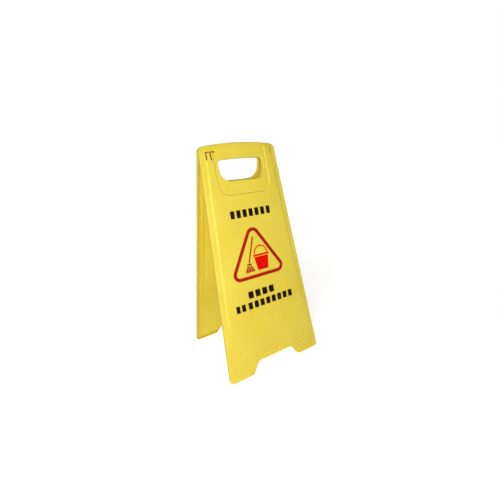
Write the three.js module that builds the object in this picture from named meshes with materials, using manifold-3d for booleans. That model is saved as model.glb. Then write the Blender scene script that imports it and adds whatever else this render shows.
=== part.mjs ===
// Folding A-frame floor sign: two identical moulded leaves hinged at the head,
// two hinge pins, and a set of thin printed markings on each leaf.
// Units are millimetres, +Z up, origin on the floor at the centre of the footprint.
// X runs across the sign, the front leaf stands on the -Y side.
//
// Each leaf is built in its own frame: x across, y up the slant from the head corner
// line, z out of the outer face. Distances "down" are measured along -y.
import * as THREE from 'three';
import { mergeVertices } from 'three/addons/utils/BufferGeometryUtils.js';
import Module from 'manifold-3d';

const wasm = await Module();
wasm.setup();

// ---------- leaf and stance ----------
const LEAF_LENGTH = 612;        // slant length, head corner line to feet
const HEAD_WIDTH = 217;         // leaf width at the corner line
const FOOT_WIDTH = 300;         // leaf width at the feet
const LEAF_DEPTH = 11.4;        // face to rim
const SHELL = 2.8;              // wall thickness
const LEAN = THREE.MathUtils.degToRad(11.9);   // each leaf from vertical
const HEAD_HALF_GAP = 8.7;      // outer face to mid-plane at the corner line
const HEAD_Z = LEAF_LENGTH * Math.cos(LEAN);
const MEET_GAP = 0.2;           // each leaf stops this far short of the mid-plane
const CLEAR = 1;                // cutters and joined parts run past a face by this much

// ---------- leaf outline ----------
const ARCH_RISE = 8;            // head arch above the corner line at the centre
const ARCH_DROP = 7.8;          // how far the arch falls at the corners
const ARCH_SPAN = 168;          // the arch points divide this width
const ARCH_STEPS = 12;
const HEAD_CORNER_R = 14;
const FOOT_CORNER_R = 8;
const FOOT_SOLE = 5.6;          // flat sole under each foot
const FOOT_TRIM = 4;            // extra length, cut off at the floor
const NOTCH_DEPTH = 33;         // cut-out between the two feet
const NOTCH_HALF_TOP = 56;
const NOTCH_HALF_BOTTOM = 78;
const NOTCH_CORNER_R = 5;
const NOTCH_SIDE_INSET = 1.2;   // sideways shift of the notch flank per unit of inset

// ---------- raised field and its sloping border ----------
const BEVEL_WIDTH = 14.5;       // border beside the field
const BEVEL_DROP = 2.5;         // depth of the border at the outer edge
const FIELD_STEP = 1.6;         // height of the field over the border
const FIELD_END = 471;          // lower end of the field, down the slant
const FIELD_CORNER_R = 6;
const FIELD_INNER_INSET = 2;    // hollow behind the field, inside the field's edge
const SWEEP_OVERRUN = 20;       // swept forms run past both ends of the leaf

// ---------- hand opening and the shallow dish around it ----------
const GRIP = { half: 64.5, top: 33.5, bottom: 87, lowRadius: 29 };
const GRIP_ARCH = 2.6;
const GRIP_ARCH_SPAN = 100;
const GRIP_ARCH_STEPS = 8;
const GRIP_WALL_LAP = 0.4;      // tunnel wall stops this far below the dish floor
const DISH = { half: 75.5, top: 17, bottom: 122, lowRadius: 28 };
const DISH_DEPTH = 1.4;
const DISH_BACKING = 2;         // solid margin behind the dish edge
const OPENING_TOP_R = 6;

// ---------- blind recesses near the head ----------
// slots beside the left lug: x0, x1, y0, y1
const SLOTS = [
  [-94.6, -92, -31.6, -12.4], [-83.1, -80.5, -32.4, -12],
  [-84.5, -69.5, -14.2, -11.8], [-94.6, -82, -14.8, -12.4],
];
// round holes beside the right lug: x, y
const HOLES = [[92.4, -13.6], [93.4, -21.6]];
const HOLE_R = 1.3;
const RECESS_DEPTH = 4.8;
const RECESS_WALL = 1.2;
const RECESS_FLOOR = 0.8;
const RECESS_PAD_TOP = 2.4;     // top of the added wall, below the face

// ---------- hinge ----------
const PIVOT_DEPTH = 12;         // hinge axis behind the outer face
// distance down the slant that puts the hinge axis on the mid-plane
const PIVOT_DOWN = (PIVOT_DEPTH * Math.cos(LEAN) - HEAD_HALF_GAP) / Math.sin(LEAN);
const PIVOT_Z = HEAD_Z - PIVOT_DOWN * Math.cos(LEAN) - PIVOT_DEPTH * Math.sin(LEAN);
const LUG_R = 6;
const LUG_WEB_HALF = LUG_R - 0.4;
const LUG_TOP = 2.6;            // top of the web, below the face
const BORE_R = 3.35;
const LUG_SPANS = [[-102.5, -95], [83, 90.5]];   // x range of the left and right lug
const PIN_R = 3;
const PIN_LENGTH = 25;
const PIN_X = 105.6;            // outer end of each pin's head, from the centre
const PIN_HEAD_R = 4.6;
const PIN_HEAD_LENGTH = 1.8;
const PIN_HEAD_CHAMFER = 0.6;
const PIN_TIP = { radial: 0.7, axial: 0.8 };     // chamfer at the inner end

// ---------- printed markings ----------
const INK_GAP = 0.3;            // clearance over the raised field
const INK_THICK = 0.5;
const SIGN_X = -6;              // the triangle sits a little left of centre
const SIGN_HALF = 92;           // triangle half width to its sharp corners
const SIGN_APEX = 193;          // sharp apex, down from the corner line
const SIGN_BASE = 348.5;
const SIGN_BAND = 9.4;          // width of the triangle's band
const SIGN_BASE_R = 19;
const SIGN_APEX_R = 20.3;
const SIDE_PER_INSET = 1.75;    // sharp base corners move in, per unit of inset
const APEX_PER_INSET = 1.96;    // sharp apex moves down, per unit of inset
const PICTOGRAM_FOOT = -(SIGN_BASE - 18);        // y of the pail's and mop's base

const halfWidth = (down) => (HEAD_WIDTH + (FOOT_WIDTH - HEAD_WIDTH) * down / LEAF_LENGTH) / 2;

// ---------- solids ----------
function solid(geometry) {
  geometry.deleteAttribute('normal');
  geometry.deleteAttribute('uv');
  const merged = mergeVertices(geometry, 1e-4);
  return new wasm.Manifold(new wasm.Mesh({
    numProp: 3,
    vertProperties: new Float32Array(merged.attributes.position.array),
    triVerts: new Uint32Array(merged.index.array),
  }));
}

function geometryOf(manifold) {
  const { vertProperties, triVerts } = manifold.getMesh();
  const geometry = new THREE.BufferGeometry();
  const positions = new Float32Array(vertProperties);
  geometry.setAttribute('position', new THREE.BufferAttribute(positions, 3));
  geometry.setIndex(new THREE.BufferAttribute(new Uint32Array(triVerts), 1));
  geometry.computeVertexNormals();
  return geometry;
}

// Shape from corners [x, y, radius]; a corner without a radius stays sharp.
function rounded(corners, segments = 5) {
  const count = corners.length;
  const at = (i) => new THREE.Vector2(corners[i % count][0], corners[i % count][1]);
  const points = corners.flatMap(([, , radius], i) => {
    const corner = at(i);
    if (!radius) return [corner];
    const toPrevious = at(i + count - 1).sub(corner).normalize();
    const toNext = at(i + 1).sub(corner).normalize();
    const halfAngle = Math.acos(THREE.MathUtils.clamp(toPrevious.dot(toNext), -1, 1)) / 2;
    const setback = radius / Math.tan(halfAngle);
    const start = corner.clone().addScaledVector(toPrevious, setback);
    const end = corner.clone().addScaledVector(toNext, setback);
    const bisector = toPrevious.clone().add(toNext).normalize();
    const centre = corner.clone().addScaledVector(bisector, radius / Math.sin(halfAngle));
    const startAngle = Math.atan2(start.y - centre.y, start.x - centre.x);
    let turn = Math.atan2(end.y - centre.y, end.x - centre.x) - startAngle;
    while (turn > Math.PI) turn -= 2 * Math.PI;
    while (turn < -Math.PI) turn += 2 * Math.PI;
    return Array.from({ length: segments + 1 }, (_, k) => {
      const angle = startAngle + turn * k / segments;
      return new THREE.Vector2(
        centre.x + radius * Math.cos(angle), centre.y + radius * Math.sin(angle));
    });
  });
  return new THREE.Shape(points);
}

function extrude(shape, depth) {
  return new THREE.ExtrudeGeometry(shape, { depth, bevelEnabled: false, steps: 1 });
}

function plate(shape, zLow, zHigh) {
  return solid(extrude(shape, zHigh - zLow).translate(0, 0, zLow));
}

function box(x0, x1, y0, y1, z0, z1) {
  return new THREE.BoxGeometry(x1 - x0, y1 - y0, z1 - z0)
    .translate((x0 + x1) / 2, (y0 + y1) / 2, (z0 + z1) / 2);
}

function rodX(x0, x1, y, z, radius, sides) {
  return solid(new THREE.CylinderGeometry(radius, radius, x1 - x0, sides)
    .rotateZ(Math.PI / 2)
    .translate((x0 + x1) / 2, y, z));
}

function rodZ(x, y, z0, z1, radius, sides) {
  return solid(new THREE.CylinderGeometry(radius, radius, z1 - z0, sides)
    .rotateX(Math.PI / 2)
    .translate(x, y, (z0 + z1) / 2));
}

// Points from right to left between the ends of a span, ends left out.
function archPoints(span, steps, heightAt) {
  return Array.from({ length: steps - 1 }, (_, i) => {
    const x = span / 2 - span * (i + 1) / steps;
    return [x, heightAt(x)];
  });
}

// ---------- leaf ----------
// Leaf outline drawn in by `inset`; the full outline runs on below the floor.
function outline(inset) {
  const low = inset ? -(LEAF_LENGTH - FOOT_SOLE) : -(LEAF_LENGTH + FOOT_TRIM);
  const side = (y) => halfWidth(-y) - inset;
  const radius = (full) => Math.max(full - inset, 1);
  const notchTop = -(LEAF_LENGTH - NOTCH_DEPTH) + inset;
  const notchSlope = (NOTCH_HALF_BOTTOM - NOTCH_HALF_TOP) / NOTCH_DEPTH;
  const notchLowHalf =
    NOTCH_HALF_BOTTOM + notchSlope * (-low - LEAF_LENGTH) + inset * NOTCH_SIDE_INSET;
  const notchTopHalf = NOTCH_HALF_TOP + inset;
  const cornerY = ARCH_RISE - ARCH_DROP - inset;
  return rounded([
    [-side(low), low, radius(FOOT_CORNER_R)],
    [-notchLowHalf, low],
    [-notchTopHalf, notchTop, NOTCH_CORNER_R + inset],
    [notchTopHalf, notchTop, NOTCH_CORNER_R + inset],
    [notchLowHalf, low],
    [side(low), low, radius(FOOT_CORNER_R)],
    [side(cornerY), cornerY, radius(HEAD_CORNER_R)],
    ...archPoints(ARCH_SPAN, ARCH_STEPS,
      (x) => ARCH_RISE - ARCH_DROP * (x / (HEAD_WIDTH / 2)) ** 2 - inset),
    [-side(cornerY), cornerY, radius(HEAD_CORNER_R)],
  ]);
}

// Leaf form without the raised field. Its section is swept down the slant and
// widens with the leaf while the border keeps its width.
function taperedForm(inset, depth) {
  const half = halfWidth(0) - inset;
  const edgeZ = -BEVEL_DROP - inset;
  const fieldZ = -FIELD_STEP - inset;
  const section = rounded([
    [-half, -depth], [half, -depth], [half, edgeZ], [half - BEVEL_WIDTH, fieldZ],
    [-half + BEVEL_WIDTH, fieldZ], [-half, edgeZ],
  ]);
  const swept = extrude(section, LEAF_LENGTH + 2 * SWEEP_OVERRUN);
  const position = swept.attributes.position;
  for (let i = 0; i < position.count; i++) {
    const down = position.getZ(i) - SWEEP_OVERRUN;
    const x = position.getX(i);
    const widening = halfWidth(down) - halfWidth(0);
    position.setXYZ(i, x + Math.sign(x) * widening, -down, position.getY(i));
  }
  return solid(swept).intersect(plate(outline(inset), -depth - CLEAR, CLEAR));
}

// Raised field drawn in by `inset`; `topWidthAt` is where down the leaf its top width is read.
function fieldShape({ inset, topWidthAt, topY, topRadius }) {
  const edge = BEVEL_WIDTH + inset;
  const lowHalf = halfWidth(FIELD_END) - edge;
  const topHalf = halfWidth(topWidthAt) - edge;
  const lowY = -FIELD_END + inset;
  const lowRadius = FIELD_CORNER_R - inset;
  return rounded([
    [-lowHalf, lowY, lowRadius], [lowHalf, lowY, lowRadius],
    [topHalf, topY, topRadius], [-topHalf, topY, topRadius],
  ], 3);
}

function outerForm() {
  const field = fieldShape({
    inset: 0, topWidthAt: -SWEEP_OVERRUN, topY: SWEEP_OVERRUN, topRadius: 0,
  });
  return taperedForm(0, LEAF_DEPTH)
    .add(plate(field, -FIELD_STEP - CLEAR, 0))
    .intersect(plate(outline(0), -LEAF_DEPTH - CLEAR, CLEAR));
}

// Corners of the dish or hand opening, widened all round by `grow`.
function openingCorners({ half, top, bottom, lowRadius }, grow) {
  const x = half + grow;
  const topY = -top + grow;
  const lowY = -bottom - grow;
  return [
    [-x, topY, OPENING_TOP_R + grow], [-x, lowY, lowRadius + grow],
    [x, lowY, lowRadius + grow], [x, topY, OPENING_TOP_R + grow],
  ];
}

const dishShape = (grow) => rounded(openingCorners(DISH, grow));

function gripShape(grow) {
  return rounded([
    ...openingCorners(GRIP, grow),
    ...archPoints(GRIP_ARCH_SPAN, GRIP_ARCH_STEPS,
      (x) => -GRIP.top + grow + GRIP_ARCH * (1 - (x / GRIP.half) ** 2)),
  ], 6);
}

// Hollow of the leaf: deeper behind the raised field, except behind the dish.
function cavity() {
  const field = fieldShape({
    inset: FIELD_INNER_INSET, topWidthAt: -4, topY: 1, topRadius: 4,
  });
  const behindField = plate(field, -FIELD_STEP - SHELL - CLEAR, -SHELL)
    .subtract(plate(dishShape(DISH_BACKING), -LEAF_DEPTH - CLEAR, CLEAR));
  return taperedForm(SHELL, LEAF_DEPTH + CLEAR).add(behindField);
}

// All slots and holes as solids, widened by `wall`.
function recesses(wall, zLow, zHigh) {
  return [
    ...SLOTS.map(([x0, x1, y0, y1]) =>
      solid(box(x0 - wall, x1 + wall, y0 - wall, y1 + wall, zLow, zHigh))),
    ...HOLES.map(([x, y]) => rodZ(x, y, zLow, zHigh, HOLE_R + wall, 12)),
  ];
}

// Group that stands the front leaf's frame in the sign.
function leaningGroup() {
  const group = new THREE.Group();
  group.position.set(0, -HEAD_HALF_GAP, HEAD_Z);
  group.rotation.x = Math.PI / 2 - LEAN;
  return group;
}

function leaf() {
  let body = outerForm().subtract(cavity());

  // dish, then the hand opening with its tunnel wall
  body = body.subtract(plate(dishShape(0), -DISH_DEPTH, CLEAR));
  body = body.add(plate(gripShape(SHELL), -LEAF_DEPTH, -DISH_DEPTH - GRIP_WALL_LAP));
  body = body.subtract(plate(gripShape(0), -LEAF_DEPTH - CLEAR, CLEAR));

  // all recess walls go on before any recess is cut, since the slots overlap
  for (const part of recesses(RECESS_WALL, -RECESS_DEPTH - RECESS_FLOOR, -RECESS_PAD_TOP)) {
    body = body.add(part);
  }
  for (const part of recesses(0, -RECESS_DEPTH, CLEAR)) body = body.subtract(part);

  // trim to the mid-plane and to the floor of the standing sign
  const stance = leaningGroup();
  stance.updateMatrix();
  const toLeaf = stance.matrix.invert();
  const beyondMiddle = box(-200, 200, -MEET_GAP, 200 - MEET_GAP, -150, 750);
  const belowFloor = box(-200, 200, -300, 300, -60, 0);
  for (const waste of [beyondMiddle, belowFloor]) {
    body = body.subtract(solid(waste.applyMatrix4(toLeaf)));
  }

  // hinge lugs with their bores
  for (const [x0, x1] of LUG_SPANS) {
    const web = box(x0, x1, -PIVOT_DOWN - LUG_WEB_HALF, -PIVOT_DOWN + LUG_WEB_HALF,
      -PIVOT_DEPTH, -LUG_TOP);
    body = body.add(rodX(x0, x1, -PIVOT_DOWN, -PIVOT_DEPTH, LUG_R, 28));
    body = body.add(solid(web));
    body = body.subtract(
      rodX(x0 - CLEAR, x1 + CLEAR, -PIVOT_DOWN, -PIVOT_DEPTH, BORE_R, 24));
  }
  return geometryOf(body);
}

// ---------- markings ----------
const inkPlate = (shape) => plate(shape, INK_GAP, INK_GAP + INK_THICK);
const film = (shape) => geometryOf(inkPlate(shape));

// Bar from x0 to x1, between two distances down the slant.
function bar(x0, x1, top, bottom) {
  return film(rounded([[x0, -bottom, 2], [x1, -bottom, 2], [x1, -top, 2], [x0, -top, 2]], 3));
}

function triangleRing() {
  const triangle = (inset) => {
    const half = SIGN_HALF - inset * SIDE_PER_INSET;
    const baseY = -SIGN_BASE + inset;
    return rounded([
      [SIGN_X - half, baseY, SIGN_BASE_R - inset],
      [SIGN_X + half, baseY, SIGN_BASE_R - inset],
      [SIGN_X, -SIGN_APEX - APEX_PER_INSET * inset, SIGN_APEX_R - inset],
    ], 8);
  };
  const opening = plate(triangle(SIGN_BAND), INK_GAP - CLEAR, INK_GAP + INK_THICK + CLEAR);
  return geometryOf(inkPlate(triangle(0)).subtract(opening));
}

// Plain pail with its bail, standing inside the triangle.
function pail() {
  const centreX = SIGN_X + 14;
  const foot = PICTOGRAM_FOOT;
  const rim = foot + 44;
  const rimLow = rim - 6.5;
  const [rimHalf, bodyHalf, footHalf] = [25, 22, 16.5];
  const bail = (radius, baseY) => Array.from({ length: 15 }, (_, i) => {
    const angle = Math.PI * i / 14;
    return [centreX + radius * Math.cos(angle), baseY + radius * 1.05 * Math.sin(angle)];
  });
  const shape = rounded([
    ...bail(21.5, rim),
    [centreX - rimHalf, rim, 1.2], [centreX - rimHalf, rimLow, 1.2],
    [centreX - bodyHalf, rimLow], [centreX - footHalf, foot, 3],
    [centreX + footHalf, foot, 3], [centreX + bodyHalf, rimLow],
    [centreX + rimHalf, rimLow, 1.2], [centreX + rimHalf, rim, 1.2],
  ], 3);
  shape.holes.push(rounded(bail(18, rim + 0.8)));
  return film(shape);
}

// Mop left of the pail, its handle leaning towards the top of the triangle.
function mop() {
  const foot = PICTOGRAM_FOOT;
  const [footHalf, neckHalf, handleHalf] = [16, 7.5, 2.1];
  const neck = new THREE.Vector2(SIGN_X - 26, foot + 26);
  const tip = new THREE.Vector2(SIGN_X - 2, -(SIGN_APEX + 43.5));
  // half the handle's thickness, pointing to its left side
  const left = new THREE.Vector2(neck.y - tip.y, tip.x - neck.x).setLength(handleHalf);
  return film(rounded([
    [neck.x - footHalf, foot, 2], [neck.x + footHalf, foot, 2],
    [neck.x + neckHalf, neck.y, 1], [neck.x - left.x, neck.y - left.y + 1.6],
    [tip.x - left.x, tip.y - left.y, 1.2], [tip.x + left.x, tip.y + left.y, 1.2],
    [neck.x + left.x, neck.y + left.y], [neck.x - neckHalf, neck.y, 1],
  ], 3));
}

// ---------- hinge pin, head at y = 0 ----------
function hingePin() {
  const profile = [
    [0, 0], [PIN_HEAD_R, 0], [PIN_HEAD_R, PIN_HEAD_LENGTH - PIN_HEAD_CHAMFER],
    [PIN_HEAD_R - PIN_HEAD_CHAMFER, PIN_HEAD_LENGTH], [PIN_R, PIN_HEAD_LENGTH],
    [PIN_R, PIN_LENGTH - PIN_TIP.axial], [PIN_R - PIN_TIP.radial, PIN_LENGTH], [0, PIN_LENGTH],
  ].map(([radius, y]) => new THREE.Vector2(radius, y));
  return geometryOf(solid(new THREE.LatheGeometry(profile, 20)));
}

// ---------- materials ----------
const YELLOW = { color: 0xf0da4c, roughness: 0.45, metalness: 0 };
const RED = { color: 0xb02a12, roughness: 0.5, metalness: 0 };
const SIGNAL_RED = { color: 0xe01a10, roughness: 0.5, metalness: 0 };
const BLACK = { color: 0x1c0f08, roughness: 0.5, metalness: 0 };
const STEEL = { color: 0xb9bcc0, roughness: 0.35, metalness: 1 };

// ---------- assembly ----------
function part(name, geometry, finish) {
  const mesh = new THREE.Mesh(geometry, new THREE.MeshStandardMaterial(finish));
  mesh.name = name;
  return mesh;
}

// name, geometry, finish; shared by both leaves
const LEAF_PARTS = [
  ['leaf', leaf(), YELLOW],
  ['heading_bar', bar(-60, 60, 162, 184), BLACK],
  ['warning_triangle', triangleRing(), RED],
  ['pail_pictogram', pail(), SIGNAL_RED],
  ['mop_pictogram', mop(), RED],
  ['legend_line_upper', bar(-51.5, 30, 379.5, 400), BLACK],
  ['legend_line_lower', bar(-94, 87, 409, 429.5), BLACK],
];

const sign = new THREE.Group();
for (const [side, turnAngle] of [['front', 0], ['rear', Math.PI]]) {
  const turned = new THREE.Group();
  turned.rotation.z = turnAngle;
  const leaning = leaningGroup();
  for (const [name, geometry, finish] of LEAF_PARTS) {
    leaning.add(part(`${side}_${name}`, geometry, finish));
  }
  turned.add(leaning);
  sign.add(turned);
}

// pins on the fold axis, heads outward
const pinGeometry = hingePin();
for (const [side, direction] of [['left', -1], ['right', 1]]) {
  const pin = part(`hinge_pin_${side}`, pinGeometry, STEEL);
  pin.rotation.z = direction * Math.PI / 2;
  pin.position.set(direction * PIN_X, 0, PIVOT_Z);
  sign.add(pin);
}

export default sign;
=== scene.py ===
# Folding wet floor sign: two moulded leaves hinged at the head, standing on the floor at z = 0.
# World X runs across the sign. The front leaf leans on the -Y side; the rear leaf is the same
# moulding turned half a turn about Z. Lengths are in mm until a mesh is made, metres after.
import bpy
import bmesh
import math
import numpy as np
from mathutils import Vector, Matrix, kdtree
from mathutils.geometry import delaunay_2d_cdt

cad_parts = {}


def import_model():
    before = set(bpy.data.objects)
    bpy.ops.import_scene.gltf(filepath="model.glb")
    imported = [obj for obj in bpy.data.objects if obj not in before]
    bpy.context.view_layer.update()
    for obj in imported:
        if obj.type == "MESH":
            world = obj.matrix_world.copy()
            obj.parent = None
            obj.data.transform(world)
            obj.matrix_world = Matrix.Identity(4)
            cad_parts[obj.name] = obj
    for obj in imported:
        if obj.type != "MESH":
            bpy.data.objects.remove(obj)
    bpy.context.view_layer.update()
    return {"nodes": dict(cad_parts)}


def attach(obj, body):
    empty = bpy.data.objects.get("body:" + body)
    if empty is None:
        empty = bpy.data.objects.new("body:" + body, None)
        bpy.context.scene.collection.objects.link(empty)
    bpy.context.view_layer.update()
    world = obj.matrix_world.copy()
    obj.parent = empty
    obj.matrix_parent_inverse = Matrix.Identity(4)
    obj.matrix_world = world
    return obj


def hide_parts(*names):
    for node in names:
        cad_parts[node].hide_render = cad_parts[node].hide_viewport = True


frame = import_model()

# ------------------------------------------------------------------ leaf dimensions (mm)
# Leaf frame: x across, y up the slant from the head (down = -y), z out of the outer face.
LENGTH = 612.0
HEAD_HALF_WIDTH = 108.5
FLARE = 41.5                  # half width gained from head to foot
LEAN = math.radians(11.9)
HALF_GAP = 8.7                # from the sign's middle plane to the outer face at the head
SIN, COS, TAN = math.sin(LEAN), math.cos(LEAN), math.tan(LEAN)
HEAD_Z = LENGTH * COS

SHELL = 2.8                   # wall thickness
RIM_DEPTH = 11.4
RIM_CLEARANCE = 0.2           # rim to the sign's middle plane
BEVEL = 16.0                  # width of the border slope

# raised field
INNER_STEP = 2.2
OUTER_STEP = INNER_STEP - 0.5
CREASE_HALF = 3.1             # half width of the outer step
FIELD_END = 469.0
FIELD_RADIUS = 5.0
INNER_CREASE_HALF = 1.2
INNER_BORDER = BEVEL + 5.0
INNER_END = FIELD_END - 4.0
INNER_RADIUS = 6.0

# dish around the hand opening
DISH_X, DISH_DOWN, DISH_RADIUS = 75.5, 122.5, 28.0
DISH_WALL_HALF = 1.5
DISH_DEPTH = 2.1
DISH_LINE_TOP = 1.5

# head
HEAD_Y = 0.2
ARCH_RISE = 7.8
ARCH_END = 88.0               # half width of the sampled arch
HEAD_RADIUS = 14.0
ROLL_WIDTH, ROLL_DROP = 13.0, 1.9

# feet
FOOT_RADIUS = 8.0
CAVITY_FOOT = 606.4
NOTCH_HALF_WIDTH, NOTCH_RISE = 78.0, 33.0
NOTCH_SLOPE = 22.0 / NOTCH_RISE
NOTCH_FOOT_RADIUS, NOTCH_TOP_RADIUS = 3.0, 6.0
SIDE_STRETCH, NOTCH_STRETCH = 1.002, 1.202   # sideways shift of a sloped edge per mm of inset

# hatched patch
HATCH_PITCH, HATCH_HEIGHT = 10.6, 0.70
HATCH_X, HATCH_Y = 0.777, 0.629              # direction of the ridges' normal
HATCH_AREA = (0.0, 137.0, -602.0, -492.0)    # x from, x to, y from, y to
LEAF_AREA = (-152, 152, -614, 8)

# hand opening
GRIP_X, GRIP_TOP, GRIP_LOW = 64.8, -33.3, -87
GRIP_TOP_RADIUS, GRIP_LOW_RADIUS = 7, 29
GRIP_ARCH, GRIP_ARCH_END = 2.4, 54

# blind slots
SLOT_DEPTH, SLOT_WALL, SLOT_FLOOR, SLOT_EDGE = 4.8, 1.2, 0.8, 0.4
COMB_RADIUS = 0.5
HOLE_RADIUS, HOLE_STRETCH = 1.3, 1.5

# roundings of the shell
EDGE_RADIUS, GRIP_EDGE_RADIUS, RIM_RADIUS, CAVITY_RADIUS = 1.7, 2.2, 0.6, 1.2

# hinge
PIVOT_DEPTH = 12.0
PIVOT_DOWN = (PIVOT_DEPTH * COS - HALF_GAP) / SIN
PIVOT_Z = (HEAD_Z - PIVOT_DOWN * COS - PIVOT_DEPTH * SIN) / 1000
LUG_RADIUS, BORE_RADIUS = 5.8, 3.35
LUG_FLARE, LUG_CHAMFER, BORE_OVERRUN = 0.8, 0.5, 1
LUGS = ((-102.5, -95.0, -2.7), (83.0, 90.5, -1.7))   # x from, x to, z where the web ends


# ------------------------------------------------------------------ leaf surfaces
def half_width(down):
    return HEAD_HALF_WIDTH + FLARE * down / LENGTH


def world(points, side):
    """leaf frame in mm to world in metres"""
    points = np.asarray(points, float)
    x, down, depth = points[:, 0], -points[:, 1], -points[:, 2]
    world_y = -(HALF_GAP + down * SIN) + depth * COS
    world_z = HEAD_Z - down * COS - depth * SIN
    placed = np.stack([x, world_y, world_z], 1) / 1000.0
    if side == "rear":
        placed[:, :2] *= -1
    return placed


def smooth_step(low, high, value):
    share = np.clip((np.asarray(value, float) - low) / (high - low), 0, 1)
    return share * share * (3 - 2 * share)


def corner_distance(first, second, radius):
    """distance inside a rounded corner, given the distances inside its two sides"""
    first = np.asarray(first, float)
    second = np.asarray(second, float)
    rounded = radius - np.sqrt(np.maximum(radius - first, 0) ** 2
                               + np.maximum(radius - second, 0) ** 2)
    return np.where((first < radius) & (second < radius), rounded, np.minimum(first, second))


def arch_y(x):
    return HEAD_Y + ARCH_RISE - ARCH_RISE * (np.asarray(x, float) / HEAD_HALF_WIDTH) ** 2


def field_distance(x, y):
    """distance inside the field; its lower end fades over a longer run than its sides"""
    down = -np.asarray(y, float)
    end_fade = 0.33
    return corner_distance(half_width(down) - np.abs(x) - BEVEL,
                           (FIELD_END - down) * end_fade, FIELD_RADIUS)


def dish_distance(x, y):
    down = -np.asarray(y, float)
    return corner_distance(DISH_X - np.abs(x), DISH_DOWN - down, DISH_RADIUS)


def skin_z(x, y, field, step):
    """one skin of the leaf; field is 1 on the raised field and 0 on the border"""
    x = np.asarray(x, float)
    y = np.asarray(y, float)
    down = -y
    from_edge = np.clip(half_width(down) - np.abs(x), 0, None)
    # the border's step is shallower at the head
    z = -step * (1 - field) * (0.45 + 0.55 * smooth_step(-2, 30, down))
    # the bevel drops 0.9 at the very edge
    z = z - 0.9 * np.clip((BEVEL - from_edge) / BEVEL, 0, 1)
    # the dish fades out at the head
    dish = smooth_step(-DISH_WALL_HALF, DISH_WALL_HALF, dish_distance(x, y))
    z = z - DISH_DEPTH * dish * smooth_step(1, 14, down)
    # the head rolls over softly towards the arch
    roll = np.clip((ROLL_WIDTH - (arch_y(x) - y)) / ROLL_WIDTH, 0, 1)
    return z - ROLL_DROP * roll ** 1.8


def smooth_outer_z(x, y):
    """outer surface without the hatching"""
    field = smooth_step(-CREASE_HALF, CREASE_HALF, field_distance(x, y))
    return skin_z(x, y, field, OUTER_STEP)


def hatch_z(x, y):
    """crossed ridges on the +x half of the foot, the second set growing in towards the side"""
    x = np.asarray(x, float)
    y = np.asarray(y, float)
    down = -y
    mask = smooth_step(2, 16, x) * smooth_step(486, 494, down)
    mask = mask * (1 - smooth_step(588, 598, down))
    mask = mask * smooth_step(BEVEL - 4, BEVEL + 2, half_width(down) - x)
    cross = 0.75 * smooth_step(35, 85, x)
    falling = np.cos(2 * math.pi * (HATCH_X * x - HATCH_Y * y) / HATCH_PITCH)
    rising = np.cos(2 * math.pi * (HATCH_X * x + HATCH_Y * y) / HATCH_PITCH)
    return HATCH_HEIGHT * mask * (falling + cross * rising) / (1 + 0.8 * cross)


def outer_z(x, y):
    return smooth_outer_z(x, y) + hatch_z(x, y)


def inner_z(x, y):
    """inner surface; its step is crisper than the outer one and lies further in"""
    down = -np.asarray(y, float)
    distance = corner_distance(half_width(down) - np.abs(x) - INNER_BORDER,
                               INNER_END - down, INNER_RADIUS)
    field = smooth_step(-INNER_CREASE_HALF, INNER_CREASE_HALF, distance)
    return skin_z(x, y, field, INNER_STEP) - SHELL


def rim_depth(y):
    """depth of the rim, cut short near the head where the two leaves would meet"""
    down = -np.asarray(y, float)
    return np.minimum(RIM_DEPTH, ((HALF_GAP - RIM_CLEARANCE) + down * SIN) / COS)


# ------------------------------------------------------------------ closed loops
def unit(vector):
    return vector / np.linalg.norm(vector)


def loop(corners, spans):
    """counter-clockwise loop; corners are (x, y, radius, arc steps), with no arc at 0 steps,
    and spans[i] is the number of steps along the straight after corner i"""
    count = len(corners)
    arcs = []
    for i, (x, y, radius, steps) in enumerate(corners):
        corner = np.array([x, y])
        if steps == 0:
            arcs.append([corner])
            continue
        back = unit(np.array(corners[i - 1][:2]) - corner)
        ahead = unit(np.array(corners[(i + 1) % count][:2]) - corner)
        half = math.acos(max(-1, min(1, float(back @ ahead)))) / 2
        tangent = radius / math.tan(half)
        centre = corner + unit(back + ahead) * radius / math.sin(half)
        start, end = corner + back * tangent, corner + ahead * tangent
        angle = math.atan2(*(start - centre)[::-1])
        end_angle = math.atan2(*(end - centre)[::-1])
        sweep = (end_angle - angle + math.pi) % (2 * math.pi) - math.pi
        turns = [angle + sweep * k / steps for k in range(steps + 1)]
        arcs.append([centre + radius * np.array([math.cos(a), math.sin(a)]) for a in turns])
    points = []
    for i, steps in enumerate(spans):
        points += arcs[i]
        start, end = arcs[i][-1], arcs[(i + 1) % count][0]
        points += split(start, end, steps)[1:]
    return np.array(points)


def split(start, end, count):
    """start and the points dividing the way to end into equal parts"""
    return [start + (end - start) * k / count for k in range(count)]


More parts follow.
